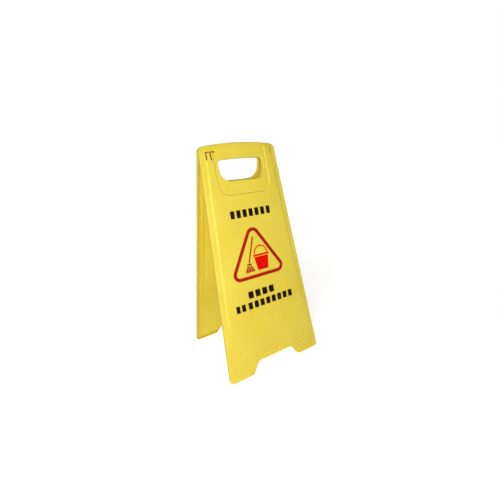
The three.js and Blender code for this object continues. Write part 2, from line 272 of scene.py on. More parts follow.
def outline(inset, depth=0.0, cavity=False):
    """edge of the leaf moved in by inset; the soles rise with depth so that they lie level"""
    if cavity:
        low = -CAVITY_FOOT + (inset - SHELL)
    else:
        low = -LENGTH + inset + depth * TAN
    notch_top = -(LENGTH - NOTCH_RISE) + inset
    head = HEAD_Y - inset

    def side(y):
        return half_width(-y) - SIDE_STRETCH * inset

    def notch(y):
        return NOTCH_HALF_WIDTH - NOTCH_SLOPE * (y + LENGTH) + NOTCH_STRETCH * inset

    foot_radius = max(FOOT_RADIUS - inset, 2)
    notch_radius = max(NOTCH_FOOT_RADIUS - inset, 1.2)
    top_radius = NOTCH_TOP_RADIUS + inset
    head_radius = HEAD_RADIUS - inset
    corners = [(-side(low), low, foot_radius, 8),
               (-notch(low), low, notch_radius, 5),
               (-notch(notch_top), notch_top, top_radius, 8),
               (notch(notch_top), notch_top, top_radius, 8),
               (notch(low), low, notch_radius, 5),
               (side(low), low, foot_radius, 8),
               (side(head), head, head_radius, 12)]
    arch = [ARCH_END - 2 * ARCH_END * i / 22 for i in range(23)]
    corners += [(x, float(arch_y(x)) - inset, 0, 0) for x in arch]
    corners.append((-side(head), head, head_radius, 12))
    return loop(corners, [8, 4, 14, 4, 8, 60, 1] + [1] * len(arch) + [60])


def sloped_outline(inset, depth):
    """outline with its own depth at every point"""
    flat = outline(inset, 0.0)
    full = outline(inset, 1.0)
    return flat + (full - flat) * np.reshape(depth, (-1, 1))


def grip(grow):
    """hand opening, with a slightly arched top edge"""
    reach, top, low = GRIP_X + grow, GRIP_TOP + grow, GRIP_LOW - grow
    corners = [(-reach, top, GRIP_TOP_RADIUS + grow, 8),
               (-reach, low, GRIP_LOW_RADIUS + grow, 16),
               (reach, low, GRIP_LOW_RADIUS + grow, 16),
               (reach, top, GRIP_TOP_RADIUS + grow, 8)]
    arch = [GRIP_ARCH_END - 2 * GRIP_ARCH_END * i / 12 for i in range(13)]
    corners += [(x, top + GRIP_ARCH * (1 - (x / GRIP_X) ** 2), 0, 0) for x in arch]
    return loop(corners, [3, 9, 3, 1] + [1] * len(arch))


def comb_slot(grow):
    """two long legs under one bar, the bar longer towards the hand opening"""
    outer = COMB_RADIUS + grow
    nook = max(COMB_RADIUS - grow, 0.12)
    corners = [(-94.9 - grow, -31.9 - grow, outer, 3), (-91.7 + grow, -31.9 - grow, outer, 3),
               (-91.7 + grow, -14.9 - grow, nook, 3), (-83.4 - grow, -14.5 - grow, nook, 3),
               (-83.4 - grow, -32.6 - grow, outer, 3), (-80.2 + grow, -32.6 - grow, outer, 3),
               (-80.2 + grow, -14.4 - grow, nook, 3), (-69.0 + grow, -14.0 - grow, outer, 3),
               (-69.0 + grow, -11.6 + grow, outer, 3), (-94.9 - grow, -12.5 + grow, outer, 3)]
    return loop(corners, [2, 5, 3, 5, 2, 5, 3, 2, 7, 5])


def oval_hole(x, y):
    """shape of a small hole taller than it is wide"""
    def shape(grow):
        radius = HOLE_RADIUS + grow
        angles = [2 * math.pi * i / 14 for i in range(14)]
        return np.array([[x + radius * math.cos(a), y + radius * HOLE_STRETCH * math.sin(a)]
                         for a in angles])
    return shape


SLOTS = [comb_slot, oval_hole(92.4, -13.6), oval_hole(93.4, -21.8)]


# ------------------------------------------------------------------ lines the mesh must follow
def inner_step_line(grow, top):
    """U along the inner step, grow inside it"""
    bend_x = half_width(INNER_END) - INNER_BORDER - INNER_RADIUS
    bend_down = INNER_END - INNER_RADIUS
    radius = INNER_RADIUS - grow
    half = [[-(half_width(down) - INNER_BORDER - grow), -down]
            for down in np.linspace(top, bend_down, 90)]
    half += [[-bend_x - radius * math.cos(a), -bend_down - radius * math.sin(a)]
             for a in np.linspace(0.15, math.pi / 2, 7)]
    half += [[x, -(INNER_END - grow)] for x in np.linspace(-bend_x + INNER_RADIUS, 0, 16)]
    return np.array(half + [[-x, y] for x, y in half[::-1][1:]])


def dish_line(grow, top):
    """U along the dish wall, grow inside it"""
    bend_x, bend_down = DISH_X - DISH_RADIUS, DISH_DOWN - DISH_RADIUS
    radius = DISH_RADIUS - grow
    start = max(top, DISH_LINE_TOP)

    def bend(centre_x, first_angle):
        angles = [first_angle + (math.pi / 2) * k / 14 for k in range(1, 14)]
        return [[centre_x + radius * math.cos(a), -bend_down + radius * math.sin(a)]
                for a in angles]

    line = [[-(DISH_X - grow), -down] for down in np.linspace(start, bend_down, 26)]
    line += bend(-bend_x, math.pi)
    line += [[-bend_x + 2 * bend_x * k / 12, -(DISH_DOWN - grow)] for k in range(13)]
    line += bend(bend_x, 1.5 * math.pi)
    line += [[DISH_X - grow, -down] for down in np.linspace(bend_down, start, 26)]
    return np.array(line)


def feature_lines(top, inner=False):
    """open lines along the field's step and the dish wall"""
    if inner:
        lines = [inner_step_line(grow, top)
                 for grow in np.linspace(-INNER_CREASE_HALF, INNER_CREASE_HALF, 5)]
    else:
        lines = [np.array([[sign * (half_width(down) - BEVEL - grow), -down]
                           for down in np.linspace(top, FIELD_END - 20, 60)])
                 for grow in np.linspace(-CREASE_HALF, CREASE_HALF, 9) for sign in (-1, 1)]
    return lines + [dish_line(grow, top)
                    for grow in np.linspace(-DISH_WALL_HALF, DISH_WALL_HALF, 7)]


def corner_run(radius, from_edge):
    """how far a rounded corner cuts into a line lying from_edge inside the side"""
    return radius - math.sqrt(max(radius ** 2 - max(radius - from_edge, 0) ** 2, 0))


def border_lines(inset, foot):
    """open lines down the border, parallel to the sides"""
    lines = []
    for from_edge in (9.5, 7.0, 4.5):
        if from_edge < inset + 1.2:
            continue
        top = -HEAD_Y + corner_run(HEAD_RADIUS, from_edge) + inset + 1.5
        low = foot - inset - 2.0 - corner_run(FOOT_RADIUS, from_edge)
        for sign in (-1, 1):
            lines.append(np.array([[sign * (half_width(down) - from_edge), -down]
                                   for down in np.linspace(top, low, 52)]))
    return lines


# ------------------------------------------------------------------ triangulation
def inside(polygon, points):
    """even-odd test of points in a closed polygon"""
    x, y = points[:, 0][:, None], points[:, 1][:, None]
    start_x, start_y = polygon[:, 0][None], polygon[:, 1][None]
    end_x, end_y = np.roll(polygon[:, 0], -1)[None], np.roll(polygon[:, 1], -1)[None]
    spans_y = (start_y > y) != (end_y > y)
    with np.errstate(divide="ignore", invalid="ignore"):
        crossing = start_x + (y - start_y) * (end_x - start_x) / (end_y - start_y)
    return (np.sum(spans_y & (x < crossing), axis=1) % 2) == 1


def doubled_area(points, triangles):
    """twice the signed area of each triangle"""
    a, b, c = (points[triangles[:, i]] for i in range(3))
    return ((b[:, 0] - a[:, 0]) * (c[:, 1] - a[:, 1])
            - (b[:, 1] - a[:, 1]) * (c[:, 0] - a[:, 0]))


def counter_clockwise(points, triangles):
    turned = doubled_area(points, triangles) < 0
    triangles[turned] = triangles[turned][:, ::-1]
    return triangles


def flat_vectors(points):
    return [Vector((float(p[0]), float(p[1]))) for p in points]


def closed_edges(start, count):
    return [(start + i, start + (i + 1) % count) for i in range(count)]


def triangulate(verts, edges, tolerance):
    """constrained Delaunay; returns points, triangles and the new number of each input point"""
    result = delaunay_2d_cdt(verts, edges, [], 0, tolerance, True)
    points = np.array([[p.x, p.y] for p in result[0]])
    triangles = np.array([list(face) for face in result[2] if len(face) == 3])
    new_of_old = {old: new for new, olds in enumerate(result[3]) for old in olds}
    return points, triangles, new_of_old


def point_tree(points):
    tree = kdtree.KDTree(len(points))
    for i, p in enumerate(points):
        tree.insert((p[0], p[1], 0), i)
    tree.balance()
    return tree


def distance_to(tree, point):
    return tree.find((point[0], point[1], 0))[2]


def clear_runs(line, rings, ring_tree):
    """stretches of a line that stay clear of the boundary (the first ring) and the holes"""
    runs, run = [], []
    for start, end in zip(line[:-1], line[1:]):
        count = max(2, int(np.hypot(*(end - start)) / 0.7) + 1)
        samples = np.array([start + (end - start) * k / count for k in range(count + 1)])
        free = inside(rings[0], samples).all()
        free = free and not any(inside(hole, samples).any() for hole in rings[1:])
        free = free and all(distance_to(ring_tree, p) > 0.8 for p in samples)
        if free:
            run = (run or [start]) + [end]
        else:
            runs.append(run)
            run = []
    return [r for r in runs + [run] if r]


def seed_points(area, spacing, rings, skip=None):
    """staggered grid over an area (x from, x to, y from, y to), within the rings"""
    columns = np.arange(area[0], area[1], spacing)
    rows = np.arange(area[2], area[3], spacing * 0.866)
    points = np.array([[x + (spacing / 2 if j % 2 else 0), y]
                       for j, y in enumerate(rows) for x in columns])
    keep = inside(rings[0], points)
    for hole in rings[1:]:
        keep &= ~inside(hole, points)
    if skip:
        x, y = points.T
        keep &= ~((x > skip[0]) & (x < skip[1]) & (y > skip[2]) & (y < skip[3]))
    return points[keep]


def within_rings(points, triangles, rings):
    """triangles reached from the leaf's middle without crossing a ring"""
    fence = {(min(ring[i - 1], ring[i]), max(ring[i - 1], ring[i]))
             for ring in rings for i in range(len(ring))}

    def edge_keys(triangle):
        i, j, k = triangle
        return [(min(a, b), max(a, b)) for a, b in ((i, j), (j, k), (k, i))]

    users = {}
    for number, triangle in enumerate(triangles):
        for key in edge_keys(triangle):
            users.setdefault(key, []).append(number)
    centres = points[triangles].mean(axis=1)
    start = int(np.argmin(np.hypot(centres[:, 0], centres[:, 1] + 300)))
    seen, waiting = {start}, [start]
    while waiting:
        for key in edge_keys(triangles[waiting.pop()]):
            if key in fence:
                continue
            for number in users[key]:
                if number not in seen:
                    seen.add(number)
                    waiting.append(number)
    return triangles[sorted(seen)]


def sheet(rings, lines, spacing, hatched):
    """mesh of a region (boundary ring, then holes); returns points, triangles and the
    point numbers of each ring"""
    verts, edges = [], []
    starts = []
    for ring in rings:
        starts.append(len(verts))
        edges += closed_edges(len(verts), len(ring))
        verts += flat_vectors(ring)
    ring_tree = point_tree([p for ring in rings
                            for start, end in zip(ring, np.roll(ring, -1, axis=0))
                            for p in split(start, end,
                                           max(1, int(np.hypot(*(end - start)) / 0.6)))])
    for line in lines:
        for run in clear_runs(line, rings, ring_tree):
            edges += [(len(verts) + i, len(verts) + i + 1) for i in range(len(run) - 1)]
            verts += flat_vectors(run)

    drawn = np.array([[v.x, v.y] for v in verts])
    drawn_tree = point_tree([drawn[a] + (drawn[b] - drawn[a]) * share
                             for a, b in edges for share in (0.0, 0.33, 0.67)])

    def seed(area, step, gap, skip=None):
        points = seed_points(area, step, rings, skip)
        verts.extend(flat_vectors([p for p in points if distance_to(drawn_tree, p) > gap]))

    if hatched:
        seed(HATCH_AREA, step=1.75, gap=1.0)
    seed(LEAF_AREA, step=spacing, gap=3.2, skip=HATCH_AREA if hatched else None)

    points, triangles, new_of_old = triangulate(verts, edges, 1e-4)
    numbered = [[new_of_old[start + i] for i in range(len(ring))]
                for start, ring in zip(starts, rings)]
    triangles = counter_clockwise(points, within_rings(points, triangles, numbered))
    return points, triangles, numbered


# ------------------------------------------------------------------ solids
def at_height(points, z):
    return np.column_stack([points, np.broadcast_to(z, len(points))])


class Solid:
    """points and faces collected piece by piece"""

    def __init__(self):
        self.points = []
        self.faces = []

    def add(self, points):
        start = len(self.points)
        self.points.extend([tuple(map(float, p)) for p in points])
        return list(range(start, start + len(points)))

    def fill(self, numbers, triangles):
        self.faces += [tuple(numbers[i] for i in t) for t in triangles]

    def strip(self, ring, following, flip):
        """quads between two closed rings of point numbers"""
        for i in range(len(ring)):
            j = (i + 1) % len(ring)
            quad = (ring[i], ring[j], following[j], following[i])
            self.faces.append(quad[::-1] if flip else quad)

    def wall(self, ring, rings, flip):
        """strips from a numbered ring through rings of points; returns the last ring's numbers"""
        for points in rings:
            following = self.add(points)
            self.strip(ring, following, flip)
            ring = following
        return ring

    def pocket(self, ring, rings, flip):
        """wall closed by a floor over its last ring"""
        last = self.wall(ring, rings, flip)
        flat = rings[-1][:, :2]
        _, triangles, new_of_old = triangulate(flat_vectors(flat), closed_edges(0, len(flat)),
                                               1e-5)
        old_of_new = {new: old for old, new in new_of_old.items()}
        triangles = np.array([[old_of_new[i] for i in t] for t in triangles])
        keep = np.abs(doubled_area(flat, triangles)) >= 1e-7
        keep &= inside(flat, flat[triangles].mean(axis=1))
        triangles = counter_clockwise(flat, triangles[keep])
        self.fill(last, triangles[:, ::-1] if flip else triangles)


def quarter_turn(steps):
    """(1 - sin, 1 - cos) at each step of a quarter turn"""
    angles = [(math.pi / 2) * i / steps for i in range(steps + 1)]
    return [(1 - math.sin(a), 1 - math.cos(a)) for a in angles]


def edge_rings(shape, cavity_shape, edge_radius):
    """rings from the outer sheet's edge, over the rim, to the inner sheet's edge"""
    rings = []
    # rounded outer edge
    for sin_gap, cos_gap in quarter_turn(7)[1:]:
        inset = edge_radius * sin_gap
        z = smooth_outer_z(*shape(inset, 0.0).T) - edge_radius * cos_gap
        rings.append(at_height(shape(inset, -z), z))
    # rounded rim, outer then inner half
    for sin_gap, cos_gap in quarter_turn(3):
        inset, lift = RIM_RADIUS * cos_gap, RIM_RADIUS * sin_gap
        points = shape(inset, rim_depth(shape(inset, 0.0)[:, 1]) - lift)
        rings.append(at_height(points, -(rim_depth(points[:, 1]) - lift)))
    for sin_gap, cos_gap in quarter_turn(3)[::-1]:
        points = cavity_shape(SHELL - RIM_RADIUS * cos_gap)
        rings.append(at_height(points, -(rim_depth(points[:, 1]) - RIM_RADIUS * sin_gap)))
    # fillet into the inner sheet, never below the rim
    for sin_gap, cos_gap in quarter_turn(4)[:-1]:
        points = cavity_shape(SHELL + CAVITY_RADIUS * cos_gap)
        z = inner_z(*points.T) - CAVITY_RADIUS * sin_gap
        z = np.maximum(z, -(rim_depth(points[:, 1]) - RIM_RADIUS))
        rings.append(at_height(points, z))
    return rings


def leaf_solid():
    solid = Solid()
    inner_inset = SHELL + CAVITY_RADIUS

    rings = [outline(EDGE_RADIUS), grip(GRIP_EDGE_RADIUS)] + [s(SLOT_EDGE) for s in SLOTS]
    lines = feature_lines(0.5) + border_lines(EDGE_RADIUS, LENGTH)
    points, triangles, outer_rings = sheet(rings, lines, 9.0, hatched=True)
    outer = solid.add(at_height(points, outer_z(*points.T)))
    solid.fill(outer, triangles)

    rings = [outline(inner_inset, cavity=True), grip(inner_inset)]
    rings += [s(SLOT_WALL) for s in SLOTS]
    lines = feature_lines(SHELL + 1.5, inner=True) + border_lines(inner_inset, CAVITY_FOOT)
    points, triangles, inner_rings = sheet(rings, lines, 11.0, hatched=False)
    inner = solid.add(at_height(points, inner_z(*points.T)))
    solid.fill(inner, triangles[:, ::-1])

    outer_rings = [[outer[i] for i in ring] for ring in outer_rings]
    inner_rings = [[inner[i] for i in ring] for ring in inner_rings]
    walls = [(edge_rings(sloped_outline, lambda inset: outline(inset, cavity=True),
                         EDGE_RADIUS), True),
             (edge_rings(lambda inset, depth: grip(inset), grip, GRIP_EDGE_RADIUS), False)]
    for i, (rings, flip) in enumerate(walls):
        last = solid.wall(outer_rings[i], rings, flip)
        solid.strip(last, inner_rings[i], flip)

    for slot, outer_ring, inner_ring in zip(SLOTS, outer_rings[2:], inner_rings[2:]):
        rings = []
        for sin_gap, cos_gap in quarter_turn(2)[1:]:
            points = slot(SLOT_EDGE * sin_gap)
            rings.append(at_height(points, smooth_outer_z(*points.T) - SLOT_EDGE * cos_gap))
        points = slot(0.0)
        rings.append(at_height(points, smooth_outer_z(*points.T) - SLOT_DEPTH))
        solid.pocket(outer_ring, rings, False)
        points = slot(SLOT_WALL)
        z = smooth_outer_z(*points.T) - SLOT_DEPTH - SLOT_FLOOR
        solid.pocket(inner_ring, [at_height(points, z)], True)
    return solid


def add_plate(solid, shapes, low, high, rounding):
    """plate with a small rounded top edge, from shape(grow) functions: outer first, then holes"""
    flat = [shape(-rounding if i == 0 else rounding) for i, shape in enumerate(shapes)]
    verts, edges, starts = [], [], []
    for ring in flat:
        starts.append(len(verts))
        edges += closed_edges(len(verts), len(ring))
        verts += flat_vectors(ring)
    points, triangles, new_of_old = triangulate(verts, edges, 1e-5)
    centres = points[triangles].mean(axis=1)
    keep = inside(flat[0], centres)
    for hole in flat[1:]:
        keep &= ~inside(hole, centres)
    triangles = counter_clockwise(points, triangles[keep])
    top = solid.add(at_height(points, high))
    solid.fill(top, triangles)
    bottom = solid.add(at_height(points, low))
    solid.fill(bottom, triangles[:, ::-1])
    for shape, start, ring in zip(shapes, starts, flat):
        numbers = [new_of_old[start + i] for i in range(len(ring))]
        edge = [at_height(shape(0.0), high - rounding * 0.6), at_height(shape(0.0), low)]
        last = solid.wall([top[i] for i in numbers], edge, True)
        solid.strip(last, [bottom[i] for i in numbers], True)


# ------------------------------------------------------------------ objects
def new_object(name, points, faces):
    mesh = bpy.data.meshes.new(name)
    mesh.from_pydata([tuple(p) for p in points], [], [tuple(f) for f in faces])
    mesh.validate(verbose=False)
    mesh.update()
    obj = bpy.data.objects.new(name, mesh)
    bpy.context.scene.collection.objects.link(obj)
    return obj


def face_outward(obj):
    bm = bmesh.new()
    bm.from_mesh(obj.data)
    bmesh.ops.recalc_face_normals(bm, faces=bm.faces)
    bm.to_mesh(obj.data)
    bm.free()


def tidy(obj, angle=38.0):
    """merge doubles, face outward and shade smooth up to the angle in degrees"""
    bm = bmesh.new()
    bm.from_mesh(obj.data)
    bmesh.ops.remove_doubles(bm, verts=bm.verts, dist=2e-6)
    bmesh.ops.dissolve_degenerate(bm, dist=1e-6, edges=bm.edges)
    bmesh.ops.recalc_face_normals(bm, faces=bm.faces)
    for face in bm.faces:
        face.smooth = True
    bm.to_mesh(obj.data)
    bm.free()
    obj.data.set_sharp_from_angle(angle=math.radians(angle))


def register(obj, material, node, slot, mover):
    """give a piece its material, hide the frame node it stands for and attach it to its mover"""
    obj.data.materials.append(material)
    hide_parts(node)
    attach(obj, mover)


# ------------------------------------------------------------------ shader helpers
class Nodes:
    """short calls for building a node tree; values may be numbers or output sockets"""

    def __init__(self, owner):
        owner.use_nodes = True
        self.tree = owner.node_tree

    def fill(self, node, inputs):
        for key, value in inputs.items():
            if isinstance(value, bpy.types.NodeSocket):
                self.tree.links.new(value, node.inputs[key])
            else:
                node.inputs[key].default_value = value

    def surface(self, inputs):
        self.fill(self.tree.nodes["Principled BSDF"], inputs)

    def add(self, kind, inputs=None, **settings):
        node = self.tree.nodes.new("ShaderNode" + kind)
        for name, value in settings.items():
            setattr(node, name, value)
        self.fill(node, inputs or {})
        return node

    def noise(self, vector, scale, detail=2.0, roughness=0.5):
        inputs = {"Vector": vector, "Scale": scale, "Detail": detail, "Roughness": roughness}
        return self.add("TexNoise", inputs).outputs["Fac"]

    def ramp(self, factor, start_color, end_color, start=0.0, end=1.0):
        node = self.add("ValToRGB", {"Fac": factor})
        stops = ((start, start_color), (end, end_color))
        for element, (position, color) in zip(node.color_ramp.elements, stops):
            element.position = position
            element.color = color
        return node.outputs["Color"]

    def map_range(self, value, interpolation="LINEAR", **ends):
        """ends are from_min, from_max, to_min and to_max"""
        inputs = {name.replace("_", " ").title(): end for name, end in ends.items()}
        inputs["Value"] = value
        node = self.add("MapRange", inputs, interpolation_type=interpolation)
        return node.outputs["Result"]

    def math(self, operation, *values):
        node = self.add("Math", dict(enumerate(values)), operation=operation)
        return node.outputs[0]

    def mix(self, factor, first, second, blend="MIX"):
        inputs = {"Factor": factor, "A": first, "B": second}
        node = self.add("Mix", inputs, data_type="RGBA", blend_type=blend)
        return node.outputs["Result"]

    def bump(self, height, strength, distance, **extra):
        inputs = {"Height": height, "Strength": strength, "Distance": distance}
        inputs.update({name.title(): value for name, value in extra.items()})
        return self.add("Bump", inputs).outputs["Normal"]

    def separate(self, vector):
        return self.add("SeparateXYZ", {"Vector": vector}).outputs


def srgb(red, green, blue):
    def linear(channel):
        share = channel / 255
        return share / 12.92 if share <= 0.04045 else ((share + 0.055) / 1.055) ** 2.4
    return (linear(red), linear(green), linear(blue), 1.0)


def grey(value):
    return (value, value, value, 1)


# ------------------------------------------------------------------ materials
def rim_painted_shade(nodes, normal, place, blotches):
    """amount of painted shade on faces turned sideways or up, but none around the hand opening"""
    spared_half_width = 0.085
    spared_height, spared_half_height = 0.540, 0.040
    facing = nodes.math("ABSOLUTE", nodes.separate(normal)["Y"])
    rim = nodes.map_range(facing, "SMOOTHSTEP", from_min=0.25, from_max=0.80,
                          to_min=1.0, to_max=0.0)
    near_x = nodes.math("LESS_THAN", nodes.math("ABSOLUTE", place["X"]), spared_half_width)
    near_z = nodes.math("COMPARE", place["Z"], spared_height, spared_half_height)
    shade_area = nodes.math("SUBTRACT", 1.0, nodes.math("MULTIPLY", near_x, near_z))
    # blotches scaled by 0.5 over a base of 0.70
    uneven = nodes.math("MULTIPLY_ADD", blotches, 0.5, 0.70)
    amount = nodes.math("MULTIPLY", nodes.math("MULTIPLY", rim, shade_area), uneven)
    return nodes.math("MINIMUM", amount, 1.0)


def leaf_color(nodes, coordinates):
    """yellow with speckle, wear, painted shade in the hollows tinted dust brown, scuffs and
    painted shade on side and top faces laid over each other
    """
    position = coordinates["Object"]
    # slow colour drift of the moulding
    drift = nodes.ramp(nodes.noise(position, scale=7.0, detail=3.0),
                       start=0.32, start_color=srgb(234, 211, 61),
                       end=0.70, end_color=srgb(241, 220, 76))
    speckle = nodes.ramp(nodes.noise(position, scale=900.0),
                         start=0.3, start_color=grey(0.955), end=0.7, end_color=grey(1))
    color = nodes.mix(1.0, drift, speckle, blend="MULTIPLY")

    # worn, paler high edges
    pointiness = nodes.add("NewGeometry").outputs["Pointiness"]
    edge = nodes.ramp(pointiness, start=0.515, start_color=grey(0), end=0.60, end_color=grey(1))
    blotches = nodes.noise(position, scale=60.0, detail=5.0)
    wear_strength = 0.5
    wear = nodes.math("MULTIPLY", nodes.math("MULTIPLY", edge, blotches), wear_strength)
    color = nodes.mix(wear, color, srgb(250, 236, 140))

    # painted shade in the slots and other hollows, from local ambient occlusion, tinted dust
    # brown
    occlusion = nodes.add("AmbientOcclusion", {"Distance": 0.006}, samples=8, only_local=True)
    hollow_shade = nodes.map_range(occlusion.outputs["AO"], from_min=0.66, from_max=0.30,
                             to_min=0.0, to_max=0.92)
    color = nodes.mix(hollow_shade, color, srgb(150, 82, 0))

    # light scuffing towards the feet
    place = nodes.separate(position)
    low = nodes.map_range(place["Z"], from_min=0.11, from_max=0.0)
    patches = nodes.noise(position, scale=38.0, detail=7.0, roughness=0.7)
    scuffs = nodes.map_range(patches, from_min=0.52, from_max=0.74)
    scuff_strength = 0.45
    scuff = nodes.math("MULTIPLY", nodes.math("MULTIPLY", low, scuffs), scuff_strength)
    color = nodes.mix(scuff, color, srgb(206, 170, 84))

    # painted shade: faces turned sideways or up are multiplied towards a cool grey
    side_shade = rim_painted_shade(nodes, coordinates["Normal"], place, blotches)
    return nodes.mix(side_shade, color, (0.80, 0.82, 0.86, 1), blend="MULTIPLY")


def plastic():
    material = bpy.data.materials.new("leaf_polypropylene")
    nodes = Nodes(material)
    coordinates = nodes.add("TexCoord").outputs
    position = coordinates["Object"]
    color = leaf_color(nodes, coordinates)
    # satin sheen that varies a little
    sheen = nodes.noise(position, scale=22.0, detail=6.0, roughness=0.65)
    roughness = nodes.map_range(sheen, from_min=0.3, from_max=0.7, to_min=0.40, to_max=0.56)
    # moulded skin: fine grain over a faint orange peel
    cells = nodes.add("TexVoronoi", {"Vector": position, "Scale": 1500.0}).outputs["Distance"]
    peel = nodes.noise(position, scale=120.0, detail=3.0)
    grain = nodes.bump(cells, strength=0.20, distance=0.00012)
    nodes.surface({"Base Color": color,
                   "Roughness": roughness,
                   "Normal": nodes.bump(peel, strength=0.18, distance=0.0006, normal=grain),
                   "IOR": 1.49,
                   "Subsurface Weight": 0.12,
                   "Subsurface Radius": (0.004, 0.003, 0.001),
                   "Subsurface Scale": 1.0})
    return material


def ink(name, dark, light, roughness=0.55):
    material = bpy.data.materials.new(name)
    nodes = Nodes(material)
    position = nodes.add("TexCoord").outputs["Object"]
    mottle = nodes.noise(position, scale=140.0, detail=6.0, roughness=0.6)
    # screen mesh grain
    mesh_grain = nodes.noise(position, scale=1800.0)
    nodes.surface({"Base Color": nodes.ramp(mottle, start=0.30, start_color=dark,
                                            end=0.72, end_color=light),
                   "Normal": nodes.bump(mesh_grain, strength=0.15, distance=0.0001),
                   "Specular IOR Level": 0.05,
                   "Roughness": nodes.map_range(mottle, to_min=roughness - 0.06,
                                                to_max=roughness + 0.08)})
    return material


def steel():
    """brushed steel, its streaks along X"""
    material = bpy.data.materials.new("pin_steel")
    nodes = Nodes(material)
    position = nodes.add("TexCoord").outputs["Object"]
    stretched = nodes.add("Mapping", {"Scale": (40, 1500, 1500), "Vector": position})
    streaks = nodes.noise(stretched.outputs["Vector"], scale=1.0, detail=4.0)
    nodes.surface({"Metallic": 1.0,
                   "Base Color": nodes.ramp(streaks, start_color=(0.42, 0.43, 0.45, 1),
                                            end_color=(0.70, 0.71, 0.72, 1)),
                   "Roughness": nodes.map_range(streaks, to_min=0.22, to_max=0.42)})
    return material


YELLOW = plastic()
BLACK = ink("black_ink", dark=srgb(24, 11, 0), light=srgb(44, 22, 2))
DARK_RED = ink("dark_red_ink", dark=srgb(164, 16, 0), light=srgb(188, 30, 0))
RED = ink("red_ink", dark=srgb(222, 4, 0), light=srgb(238, 16, 2))
STEEL = steel()

# word in the node's name, material
CAD_LOOK = {"leaf": YELLOW, "heading": BLACK, "legend": BLACK, "triangle": DARK_RED,
            "mop": DARK_RED, "pail": RED, "pin": STEEL}
for node_name, cad_object in frame["nodes"].items():
    for key, look in CAD_LOOK.items():
        if key in node_name:
            for material_slot in cad_object.material_slots:
                material_slot.material = look


# ------------------------------------------------------------------ leaves
def prism_x(low_x, high_x, profile, side, chamfer=0.0):
    """solid along x from a profile of (y, z) points, its ends drawn in by the chamfer"""
    profile = np.array(profile)
    rows = [(low_x, profile), (high_x, profile)]
    if chamfer:
        arms = profile - np.mean(profile, axis=0)
        lengths = np.maximum(np.linalg.norm(arms, axis=1), 1e-6)
        small = np.mean(profile, axis=0) + arms * (1 - chamfer / lengths)[:, None]
        rows = [(low_x, small), (low_x + chamfer, profile),
                (high_x - chamfer, profile), (high_x, small)]
    count = len(profile)
    points = [(x, y, z) for x, section in rows for y, z in section]
    faces = []
    for k in range(len(rows) - 1):
        for i in range(count):
            j = (i + 1) % count
            faces.append((k * count + i, k * count + j, (k + 1) * count + j,
                          (k + 1) * count + i))
    faces.append(tuple(range(count))[::-1])
    faces.append(tuple((len(rows) - 1) * count + i for i in range(count)))
    obj = new_object("hinge_tool", world(points, side), faces)
    face_outward(obj)
    return obj


def hinge_circle(radius, angles):
    return [(-PIVOT_DOWN + radius * math.cos(a), -PIVOT_DEPTH + radius * math.sin(a))
            for a in angles]


def hinge_tools(side):
    """lugs to add and bores to cut, with their boolean operations"""
    bore = hinge_circle(BORE_RADIUS, [2 * math.pi * i / 48 for i in range(48)])
    nose = hinge_circle(LUG_RADIUS, [-math.pi + math.pi * i / 40 for i in range(41)])
    tools = []
    # the round nose on the axis runs back into the face as a web
    for low_x, high_x, web_z in LUGS:
        web = [(-PIVOT_DOWN + LUG_RADIUS + LUG_FLARE, web_z),
               (-PIVOT_DOWN - LUG_RADIUS - LUG_FLARE, web_z)]
        tools.append((prism_x(low_x, high_x, nose + web, side, LUG_CHAMFER), "UNION"))
    for low_x, high_x, _ in LUGS:
        tools.append((prism_x(low_x - BORE_OVERRUN, high_x + BORE_OVERRUN, bore, side),
                      "DIFFERENCE"))
    return tools


def apply_booleans(obj, tools):
    for tool, operation in tools:
        modifier = obj.modifiers.new("boolean", "BOOLEAN")
        modifier.operation = operation
        modifier.object = tool
        modifier.solver = "MANIFOLD"
        depsgraph = bpy.context.evaluated_depsgraph_get()
        mesh = bpy.data.meshes.new_from_object(obj.evaluated_get(depsgraph))
        obj.modifiers.clear()
        old = obj.data
        obj.data = mesh
        bpy.data.meshes.remove(old)
    for tool, _ in tools:
        bpy.data.objects.remove(tool, do_unlink=True)


def build_leaf(solid, side):
    leaf = new_object(side + "_leaf_moulding", world(solid.points, side), solid.faces)
    tidy(leaf)
    apply_booleans(leaf, hinge_tools(side))
    tidy(leaf)
    leaf.data.materials.clear()
    modifier = leaf.modifiers.new("wn", "WEIGHTED_NORMAL")
    modifier.keep_sharp = True
    modifier.weight = 50
    register(leaf, YELLOW, node=side + "_leaf", slot="leaf_plastic", mover=side)


moulding = leaf_solid()
for leaf_side in ("front", "rear"):
    build_leaf(moulding, leaf_side)

# ------------------------------------------------------------------ printed markings (mm)
PRINT_LOW, PRINT_HIGH, PRINT_ROUNDING = -0.02, 0.16, 0.10   # z of both faces, edge rounding
BLOCK_RADIUS = 1.6
# triangle; the inner edge lies BAND inside the base, more along x and at the apex
TRIANGLE_X, TRIANGLE_HALF = -6.0, 92
BASE_DOWN, APEX_DOWN = 348.4, 193.0
BAND, BAND_SIDE, BAND_APEX = 9.4, 1.75, 1.96
OUTER_RADIUS, OUTER_APEX_RADIUS = 19, 20.3
HOLE_CORNER_RADIUS, HOLE_APEX_RADIUS = 9.6, 10.9
FIGURE_FOOT = -BASE_DOWN + 18.0


def word(left, right, count, gap, top, bottom):
    """equal plain blocks standing for one printed word; top and bottom measured down"""
    width = (right - left - gap * (count - 1)) / count

    def block(x):
        def shape(grow):
            radius = BLOCK_RADIUS + grow
            return loop([(x - grow, -bottom - grow, radius, 4),
                         (x + width + grow, -bottom - grow, radius, 4),
                         (x + width + grow, -top + grow, radius, 4),
                         (x - grow, -top + grow, radius, 4)], [1, 1, 1, 1])
        return shape

    blocks, x = [], left
    for _ in range(count):
        blocks.append([block(x)])
        x += width + gap
    return blocks


